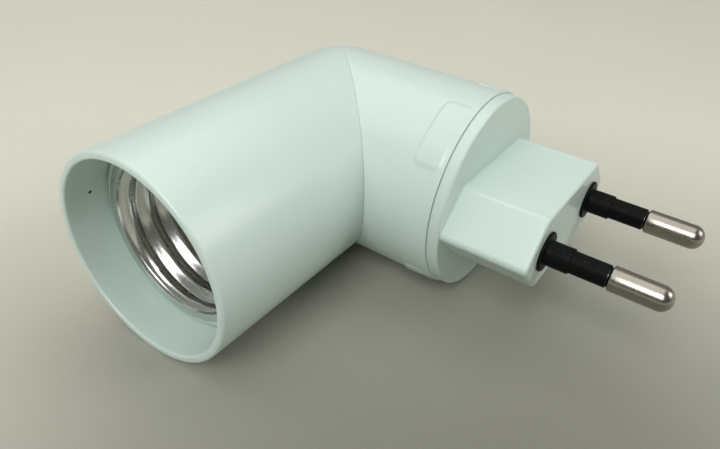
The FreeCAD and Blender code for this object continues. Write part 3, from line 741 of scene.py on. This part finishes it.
class LAMPHOLDER_OT_barrel(bpy.types.Operator):
    """Plug barrel with its half of the elbow, the stop track and the raised snap pads"""

    bl_idname = "lampholder.barrel"
    bl_label = "Plug barrel"

    def execute(self, context):
        size = sizes(context, "housing")
        radius = size.body_radius
        bore = radius - size.barrel_wall
        top = BARREL_BOX[1].x - ELBOW.x + size.seam_shift
        knee = radius + KNEE
        half = size.pad_angle / 2 * radius
        pad_back = top - size.pad_inset - size.pad_length
        soft, corner, skin = 0.0005, 0.0013, 0.001

        def pads(turn, across, height):
            if across < radius - skin:
                return 0
            near = abs(abs(math.remainder(turn, 2 * math.pi)) - math.pi / 2)
            side = abs(near - (math.pi / 2 - size.pad_place)) * radius - half + corner
            along = abs(height - pad_back - size.pad_length / 2) - size.pad_length / 2 + corner
            outside = math.hypot(max(side, 0), max(along, 0)) + min(max(side, along), 0) - corner
            forward = min(max((height - pad_back) / size.pad_length, 0), 1)
            rise = size.pad_back_height + (size.pad_front_height - size.pad_back_height) * forward
            return rise * ease(-outside / soft)

        mouth = [(bore, top - size.seam_round - EDGE_RUN)]
        mouth += arc(bore + size.seam_round, top - size.seam_round, size.seam_round, 180, 90, 3)
        mouth += arc(radius - size.seam_round, top - size.seam_round, size.seam_round, 90, 0, 4)
        mouth += run(mouth[-1], (radius, pad_back - SKIN_LEAD), 28)
        mouth += run((radius, pad_back - SKIN_LEAD), (radius, knee), 3)
        gap = size.joint_gap / 2
        deep = gap + size.cut_wall
        play, hub_wall, seat = 0.00006, 0.0024, 0.0046
        bearing, hub = size.pivot_radius + play, size.pivot_radius + hub_wall
        half_track, track_depth = 0.00135, 0.00133
        track_end, ramp = math.radians(100), math.radians(2.5)

        def pivot(angle):
            sunk = gap + track_depth * ease((track_end - angle) / ramp)
            far, near = size.stop_radius + half_track, size.stop_radius - half_track
            return [(far, gap), (far, sunk), (near, sunk), (near, gap), (bearing, gap), (bearing, seat), (hub, seat),
                    (hub, deep)]

        outer = ElbowSkin(radius, gap, knee)
        inner = ElbowSkin(bore, deep, top - size.seam_round - SKIN_LEAD)
        shape = elbow_half(BARREL_COLUMNS, outer, inner, mouth, pivot, size.cut_edge, pads)
        built = make_object("barrel", shape, BARREL_FRAME, housing_plastic(context))
        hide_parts("plug_barrel")
        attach(built, "plug_side")
        return {"FINISHED"}


# Geometry node helpers
def geometry_group(name, inputs):
    """Geometry node group with named inputs and one geometry output."""
    tree = bpy.data.node_groups.new(name, "GeometryNodeTree")
    for label, kind, default in inputs:
        socket = tree.interface.new_socket(name=label, in_out="INPUT", socket_type=kind)
        if default is not None:
            socket.default_value = default
    tree.interface.new_socket(name="Geometry", in_out="OUTPUT", socket_type="NodeSocketGeometry")
    return tree, tree.nodes.new("NodeGroupInput").outputs, tree.nodes.new("NodeGroupOutput").inputs


def end_tree(tree, out, geometry, material):
    """Last two nodes of every tree: real geometry with its material."""
    real = add_node(tree, "GeometryNodeRealizeInstances", {"Geometry": geometry})
    dressed = add_node(tree, "GeometryNodeSetMaterial", {"Geometry": real.outputs[0], "Material": material})
    tree.links.new(dressed.outputs[0], out["Geometry"])


def grown(name, tree, values, place=Matrix.Identity(4)):
    """Plain mesh object from a node tree with its inputs set by name."""
    carrier = bpy.data.objects.new(name + "_carrier", bpy.data.meshes.new(name + "_carrier"))
    bpy.context.scene.collection.objects.link(carrier)
    modifier = carrier.modifiers.new("nodes", "NODES")
    modifier.node_group = tree
    for item in tree.interface.items_tree:
        if item.in_out == "INPUT" and item.name in values:
            modifier[item.identifier] = values[item.name]
    ready = carrier.evaluated_get(bpy.context.evaluated_depsgraph_get())
    mesh = bpy.data.meshes.new_from_object(ready)
    mesh.name = name
    mesh.transform(place)
    bpy.data.objects.remove(carrier)
    built = bpy.data.objects.new(name, mesh)
    bpy.context.scene.collection.objects.link(built)
    return built


def side_by_side(name, shape, material, sharp, count, spacing):
    """Copies of a turned shape in a row, made by a node tree."""
    sample = make_object(name + "_sample", shape, Matrix.Identity(4), material, sharp)
    tree, given, out = geometry_group(name + "_row", [
        ("Form", "NodeSocketObject", None), ("Count", "NodeSocketInt", 2), ("Spacing", FLOAT, 0.0186),
    ])
    width = math_node(tree, "MULTIPLY", math_node(tree, "SUBTRACT", given["Count"], 1), given["Spacing"])
    first = add_node(tree, "ShaderNodeCombineXYZ", {"X": math_node(tree, "MULTIPLY", width, -0.5)})
    step = add_node(tree, "ShaderNodeCombineXYZ", {"X": given["Spacing"]})
    row = add_node(tree, "GeometryNodeMeshLine", {
        "Count": given["Count"], "Start Location": first.outputs[0], "Offset": step.outputs[0],
    })
    form = add_node(tree, "GeometryNodeObjectInfo", {"Object": given["Form"]})
    copies = add_node(tree, "GeometryNodeInstanceOnPoints", {
        "Points": row.outputs[0], "Instance": form.outputs["Geometry"],
    })
    end_tree(tree, out, copies.outputs[0], material)
    built = grown(name, tree, {"Form": sample, "Count": count, "Spacing": spacing}, PLUG_FRAME)
    bpy.data.objects.remove(sample)
    return built


class LAMPHOLDER_OT_pins(bpy.types.Operator):
    """Contact pins and their insulating sleeves, side by side"""

    bl_idname = "lampholder.pins"
    bl_label = "Pins and sleeves"

    def execute(self, context):
        size = sizes(context, "plug")
        colours = sizes(context, "colours")
        radius, tip, gap = size.pin_radius, PIN_BOX[1].x, 0.00032
        bare = SLEEVE_BOX[1].x + gap
        nose, bevel, pole, neck, overlap = 0.00185, 0.00022, 0.0001, 0.0014, 0.0002
        pin = [(pole, bare - EDGE_RUN), (neck, bare - EDGE_RUN), (radius - bevel, bare)]
        pin += arc(radius - bevel, bare + bevel, bevel, -60, 0, 3)
        pin += run(pin[-1], (radius, tip - nose), 4)
        pin += arc(radius - nose, tip - nose, nose, 0, 90, 14)
        pin.append((pole, tip))
        cup, cup_end, collar, collar_back, collar_front = 0.0018, -0.0192, 0.0027, -0.014, -0.01265
        rear = [(pole, cup_end), (cup, cup_end), (cup, collar_back), (collar, collar_back), (collar, collar_front),
                (neck, collar_front), (neck, bare - overlap), (pole, bare - overlap)]
        shape = joined(turned(pin, PIN_COLUMNS, False), turned(rear, PIN_COLUMNS // 2, False))
        nickel = finish_of("plated pin", metal, tuple(colours.pin), 0.24, (1, 0.06, 0.06), 2600)
        pins = side_by_side("contact_pins", shape, nickel, math.radians(38), size.pin_count, size.pin_spacing)
        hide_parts("left_pin", "right_pin")
        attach(pins, "plug_side")

        hole, root, slim, flange = 0.00142, 0.00205, 0.0018, 0.0033
        anchor, thick, step, front = -0.006, 0.0005, 0.0043, bare - 0.00035
        heel, lift, brim, fillet, shoulder, fine = 0.00018, 0.00002, 0.00025, 0.0002, 0.00015, 0.0001
        sleeve = [(hole, anchor), (root, anchor), (root, lift), (flange - fine, lift)]
        sleeve += arc(flange - heel, lift + heel, heel, -60, 0, 3)
        sleeve += arc(flange - brim, thick - brim, brim, 0, 90, 4)
        sleeve += [(root + brim, thick)]
        sleeve += arc(root + fillet, thick + fillet, fillet, 270, 180, 4)
        sleeve += run(sleeve[-1], (root, step - shoulder), 3)
        sleeve += arc(root - shoulder, step - shoulder, shoulder, 0, 90, 3)
        sleeve += [(slim, step), (slim, front - fine)]
        sleeve += arc(slim - fine, front - fine, fine, 0, 90, 2)
        sleeve += [(hole, front)]
        black = finish_of("black moulded sleeve", plastic, tuple(colours.sleeve), 0.4, grain=0.000016, dust=0.02,
                          drift=0.15, gloss=0.05)
        sleeves = side_by_side("pin_sleeves", turned(sleeve, PIN_COLUMNS), black, math.radians(38), size.pin_count,
                               size.pin_spacing)
        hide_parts("left_pin_sleeve", "right_pin_sleeve")
        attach(sleeves, "plug_side")
        return {"FINISHED"}


def make_shell_tree(material):
    """Node tree of the rolled shell's inner skin: floor, helical wall and turned-out rim."""
    tree, given, out = geometry_group("rolled_shell", [
        ("Groove Radius", FLOAT, 0.0133), ("Crest Radius", FLOAT, 0.0122), ("Pitch", FLOAT, 0.003629),
        ("Bottom", FLOAT, 0), ("Top", FLOAT, 0.02), ("Collar", FLOAT, 0.0002), ("Rim Radius", FLOAT, 0.0143),
        ("Floor Radius", FLOAT, 0.008), ("Start Angle", FLOAT, 0), ("Run Out", FLOAT, 0.0012),
        ("Columns", "NodeSocketInt", 129), ("Rows", "NodeSocketInt", 121),
    ])
    floor_share, rim_share = 0.06, 0.9

    def step(operation, *inputs):
        return math_node(tree, operation, *inputs)

    grid = add_node(tree, "GeometryNodeMeshGrid", {
        "Size X": 1, "Size Y": 1, "Vertices X": given["Columns"], "Vertices Y": given["Rows"],
    })
    place = add_node(tree, "ShaderNodeSeparateXYZ", {0: add_node(tree, "GeometryNodeInputPosition").outputs[0]})
    turn = step("MULTIPLY", step("ADD", place.outputs["X"], 0.5), 2 * math.pi)
    way = step("ADD", place.outputs["Y"], 0.5)
    climb = share(tree, way, floor_share, rim_share)
    span = step("SUBTRACT", given["Top"], given["Bottom"])
    height = step("MULTIPLY_ADD", climb, span, given["Bottom"])
    thread_top = step("SUBTRACT", given["Top"], given["Collar"])
    run_in = step("ADD", given["Bottom"], given["Pitch"])
    run_out = step("SUBTRACT", thread_top, given["Run Out"])

    def eased(value):
        square = step("MULTIPLY", value, value)
        return step("MULTIPLY", square, step("MULTIPLY_ADD", value, -2, 3))

    rise = eased(share(tree, height, given["Bottom"], run_in))
    fall = eased(share(tree, height, thread_top, run_out))
    middle = step("MULTIPLY", step("ADD", given["Groove Radius"], given["Crest Radius"]), 0.5)
    swing = step("MULTIPLY", step("SUBTRACT", given["Groove Radius"], given["Crest Radius"]), 0.5)
    turns = step("DIVIDE", step("SUBTRACT", height, thread_top), given["Pitch"])
    start = step("SUBTRACT", given["Start Angle"], turn)
    phase = step("MULTIPLY_ADD", turns, 2 * math.pi, start)
    wave = step("MULTIPLY", step("COSINE", phase), step("MULTIPLY", rise, fall))
    level = step("ADD", wave, step("SUBTRACT", rise, fall))
    wall = step("MULTIPLY_ADD", level, swing, middle)
    inwards = step("SUBTRACT", 1, share(tree, way, 0, floor_share))
    floor_run = step("SUBTRACT", wall, given["Floor Radius"])
    wall = step("SUBTRACT", wall, step("MULTIPLY", inwards, floor_run))
    outwards = share(tree, way, rim_share, 1)
    rim_run = step("SUBTRACT", given["Rim Radius"], given["Groove Radius"])
    radius = step("MULTIPLY_ADD", outwards, rim_run, wall)
    x = step("MULTIPLY", radius, step("COSINE", turn))
    y = step("MULTIPLY", radius, step("SINE", turn))
    rolled = add_node(tree, "GeometryNodeSetPosition", {
        "Geometry": grid.outputs["Mesh"],
        "Position": add_node(tree, "ShaderNodeCombineXYZ", {"X": x, "Y": y, "Z": height}).outputs[0],
    })
    closed = add_node(tree, "GeometryNodeMergeByDistance", {"Geometry": rolled.outputs[0], "Distance": 0.000002})
    end_tree(tree, out, closed.outputs[0], material)
    return tree


class LAMPHOLDER_OT_shell(bpy.types.Operator):
    """Rolled screw shell with its helical thread, collar and turned-out rim"""

    bl_idname = "lampholder.shell"
    bl_label = "Screw shell"

    def execute(self, context):
        size = sizes(context, "shell")
        bright = finish_of("rolled aluminium", metal, tuple(sizes(context, "colours").shell), 0.23, (1, 0.02, 1), 1600,
                           depth=0.000003, tarnish=(0.4, 0.42, 0.38), spots=0.04)
        top = ELBOW.y - SHELL_BOX[0].y
        bottom = ELBOW.y - SHELL_BOX[1].y
        tree = make_shell_tree(bright)
        built = grown("rolled_screw_shell", tree, {
            "Groove Radius": size.groove_radius, "Crest Radius": size.crest_radius, "Pitch": size.pitch,
            "Bottom": bottom + size.sheet, "Top": top, "Collar": size.collar, "Rim Radius": size.rim_radius,
            "Floor Radius": size.floor_radius, "Start Angle": size.start_angle, "Run Out": size.run_out,
        }, LAMP_FRAME)
        solid = built.modifiers.new("sheet", "SOLIDIFY")
        solid.thickness = size.sheet
        solid.offset = -1
        built.data.shade_smooth()
        built.data.set_sharp_from_angle(angle=math.radians(50))
        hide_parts("screw_shell")
        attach(built, "lamp_side")
        return {"FINISHED"}


def along_swivel(way, lane):
    """Point in one wire's lane through the hollow spigot."""
    return ELBOW + SWIVEL * way + UP * lane


class LAMPHOLDER_OT_wires(bpy.types.Operator):
    """Wires from the pins through the hollow spigot to the terminals"""

    bl_idname = "lampholder.wires"
    bl_label = "Wires"

    def execute(self, context):
        pin, radius, lane = PIN_Y, 0.001, 0.0015
        live = [
            (-0.0152, pin, 0), (-0.0275, pin, 0), along_swivel(0.0149, lane), along_swivel(-0.007, lane),
            (-0.05382, -0.00754, 0.0046), (-0.05382, -0.01483, 0.0046),
        ]
        neutral = [
            (-0.0152, -pin, 0), (-0.0231, -pin, 0), (-0.0252, -0.00493, -0.00704), (-0.0273, 0.00306, -0.00942),
            (-0.0294, 0.00998, -0.00648), along_swivel(0.0149, -lane), along_swivel(-0.0062, -lane),
            (-0.04978, -0.00944, -0.00275), (-0.04978, -0.01483, -0.00275),
        ]
        brown = finish_of("brown wire jacket", plastic, (0.09, 0.035, 0.016), 0.4, grain=0.000012)
        blue = finish_of("blue wire jacket", plastic, (0.02, 0.07, 0.3), 0.4, grain=0.000012)
        for name, route, jacket in (("live", live, brown), ("neutral", neutral, blue)):
            curve = bpy.data.curves.new(name + "_route", "CURVE")
            curve.dimensions = "3D"
            curve.bevel_depth = radius
            curve.bevel_resolution = 6
            curve.use_fill_caps = True
            line = curve.splines.new("NURBS")
            line.points.add(len(route) - 1)
            for point, place in zip(line.points, route):
                point.co = (*place, 1)
            line.order_u = 3
            line.use_endpoint_u = True
            line.resolution_u = 12
            carrier = bpy.data.objects.new(name + "_route", curve)
            context.scene.collection.objects.link(carrier)
            ready = carrier.evaluated_get(context.evaluated_depsgraph_get())
            mesh = bpy.data.meshes.new_from_object(ready)
            bpy.data.objects.remove(carrier)
            mesh.materials.clear()
            mesh.materials.append(jacket)
            mesh.shade_smooth()
            wire = bpy.data.objects.new(name + "_wire_jacket", mesh)
            context.scene.collection.objects.link(wire)
            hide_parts(name + "_wire")
            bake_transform(wire)
        return {"FINISHED"}


class LAMPHOLDER_OT_finishes(bpy.types.Operator):
    """Finishes of the inner pieces that keep their packed form"""

    bl_idname = "lampholder.finishes"
    bl_label = "Inner finishes"

    def execute(self, context):
        pale = finish_of("insert plastic", plastic, (0.62, 0.7, 0.65), 0.45, grain=0.000008)
        dull = finish_of("inner plastic", plastic, (0.62, 0.64, 0.6), 0.5, grain=0.00003)
        steel = finish_of("zinc-plated steel", metal, (0.6, 0.6, 0.58), 0.3, (0.3, 1, 0.3))
        spring = finish_of("spring steel", metal, (0.42, 0.42, 0.42), 0.3, (0.3, 1, 1))
        brass = finish_of("stamped brass", metal, (0.78, 0.6, 0.3), 0.28, (0.2, 1, 1))
        chosen = {
            "plug_cap": housing_plastic(context),
            "socket_insert": pale, "pin_retainer": dull, "swivel_nut": dull, "retainer_screw": steel,
            "insert_screws": steel, "swivel_washer": spring, "centre_contact": brass, "live_terminal": brass,
            "neutral_terminal": brass, "contact_rivets": brass,
        }
        for node, finish in chosen.items():
            for slot in NODES[node].material_slots:
                slot.material = finish
        return {"FINISHED"}


class LAMPHOLDER_OT_stage(bpy.types.Operator):
    """Pale floor with a painted soft shadow in front, soft lights and the camera"""

    bl_idname = "lampholder.stage"
    bl_label = "Stage"

    def execute(self, context):
        scene = context.scene
        stage = sizes(context, "stage")
        material, tree, shader, place = new_material("plain floor")
        tone = use_group(tree, "tone_drift", {
            "Place": place, "Colour": (*sizes(context, "colours").floor, 1), "Scale": 18, "Amount": 0.015,
        })
        level, width = CAD_BOX[0].z, 3.0
        # Painted shadow: the floor's colour falls smoothly towards a point in front of the object, standing in for a
        # soft shadow there
        patch, core, edge = (0.02, -0.055, level), 0.01, 0.145
        shade = add_node(tree, "ShaderNodeMapRange", {
            "Value": distance(tree, place, patch), "From Min": core, "From Max": edge,
            "To Min": stage.painted_front_shadow,
        }, interpolation_type="SMOOTHSTEP")
        tree.links.new(scaled(tree, tone.outputs["Colour"], shade.outputs[0]), shader.inputs["Base Color"])
        cloth = use_group(tree, "mould_grain", {"Place": place, "Grain Scale": 2600})
        add_relief(tree, shader, cloth.outputs["Height"], 0.00006, 1)
        shader.inputs["Roughness"].default_value = 0.85
        corners = [(-width, -width, level), (width, -width, level), (width, width, level), (-width, width, level)]
        floor = make_object("floor", (corners, [(0, 1, 2, 3)]), Matrix.Identity(4), material)

        camera = bpy.data.objects.new("camera", bpy.data.cameras.new("camera"))
        camera.data.sensor_width = 36
        camera.data.lens = stage.lens
        camera.data.clip_start = 0.005
        right = Vector((0.81253, 0.58157, 0.03966))
        down = Vector((0.36446, -0.45375, -0.81319))
        ahead = Vector((-0.45493, 0.6752, -0.58064))
        eye = Vector((0.020791, -0.091368, 0.060129))
        camera.matrix_world = basis(eye, right, -down, -ahead)
        scene.collection.objects.link(camera)
        scene.camera = camera

        middle = Vector((-0.02, -0.015, 0))
        for name, spot, size, power in (
            ("key", Vector((-0.16, 0.0, 0.47)), 0.6, stage.key_power),
            ("fill", Vector((0.62, 0.3, 0.45)), 0.4, stage.fill_power),
            ("front", Vector((0.06, -0.4, 0.39)), 0.3, stage.front_power),
        ):
            lamp = bpy.data.lights.new(name, "AREA")
            lamp.size = size
            lamp.energy = power
            light = bpy.data.objects.new(name, lamp)
            light.location = spot
            light.rotation_mode = "QUATERNION"
            light.rotation_quaternion = (middle - spot).to_track_quat("-Z", "Y")
            scene.collection.objects.link(light)

        world = bpy.data.worlds.new("even light")
        world.use_nodes = True
        tree = world.node_tree
        ray = add_node(tree, "ShaderNodeLightPath")
        direction = add_node(tree, "ShaderNodeTexCoord").outputs["Generated"]
        behind = add_node(tree, "ShaderNodeVectorMath", {0: direction, 1: -ahead}, operation="DOT_PRODUCT")
        lit = add_node(tree, "ShaderNodeMapRange", {
            "Value": behind.outputs["Value"], "From Min": 0.35, "From Max": 0.85, "To Min": stage.sky,
            "To Max": stage.sky * 0.35,
        }, interpolation_type="SMOOTHSTEP")
        in_mirror = mixed(tree, ray.outputs["Is Glossy Ray"], 1, 0.9)
        strength = math_node(tree, "MULTIPLY", lit.outputs[0], in_mirror)
        tree.links.new(strength, tree.nodes["Background"].inputs["Strength"])
        tree.nodes["Background"].inputs["Color"].default_value = (0.98, 0.96, 0.88, 1)
        scene.world = world
        scene.view_settings.view_transform = "Standard"
        return {"FINISHED"}


BUILDERS = (
    LAMPHOLDER_OT_lamp_tube,
    LAMPHOLDER_OT_barrel,
    LAMPHOLDER_OT_pins,
    LAMPHOLDER_OT_shell,
    LAMPHOLDER_OT_wires,
    LAMPHOLDER_OT_finishes,
    LAMPHOLDER_OT_stage,
)
GROUPS = {
    "housing": HousingSizes, "plug": PlugSizes, "shell": ShellSizes, "colours": Colours, "stage": StageSizes,
}


class LAMPHOLDER_PT_panel(bpy.types.Panel):
    """Buttons and sizes of the lamp holder"""

    bl_idname = "LAMPHOLDER_PT_panel"
    bl_label = "Lamp holder"
    bl_space_type = "VIEW_3D"
    bl_region_type = "UI"
    bl_category = "Lamp holder"

    def draw(self, context):
        for builder in BUILDERS:
            self.layout.operator(builder.bl_idname)
        for name, group in GROUPS.items():
            box = self.layout.box()
            box.label(text=name.capitalize())
            for key in group.__annotations__:
                box.prop(sizes(context, name), key)


CLASSES = (*GROUPS.values(), *BUILDERS, LAMPHOLDER_PT_panel)


def register():
    for cls in CLASSES:
        bpy.utils.register_class(cls)
    for name, group in GROUPS.items():
        setattr(bpy.types.Scene, "lamp_holder_" + name, PointerProperty(type=group))


def unregister():
    for name in GROUPS:
        delattr(bpy.types.Scene, "lamp_holder_" + name)
    for cls in reversed(CLASSES):
        bpy.utils.unregister_class(cls)


def main():
    register()
    for builder in BUILDERS:
        family, name = builder.bl_idname.split(".")
        getattr(getattr(bpy.ops, family), name)()


if __name__ == "__main__":
    main()
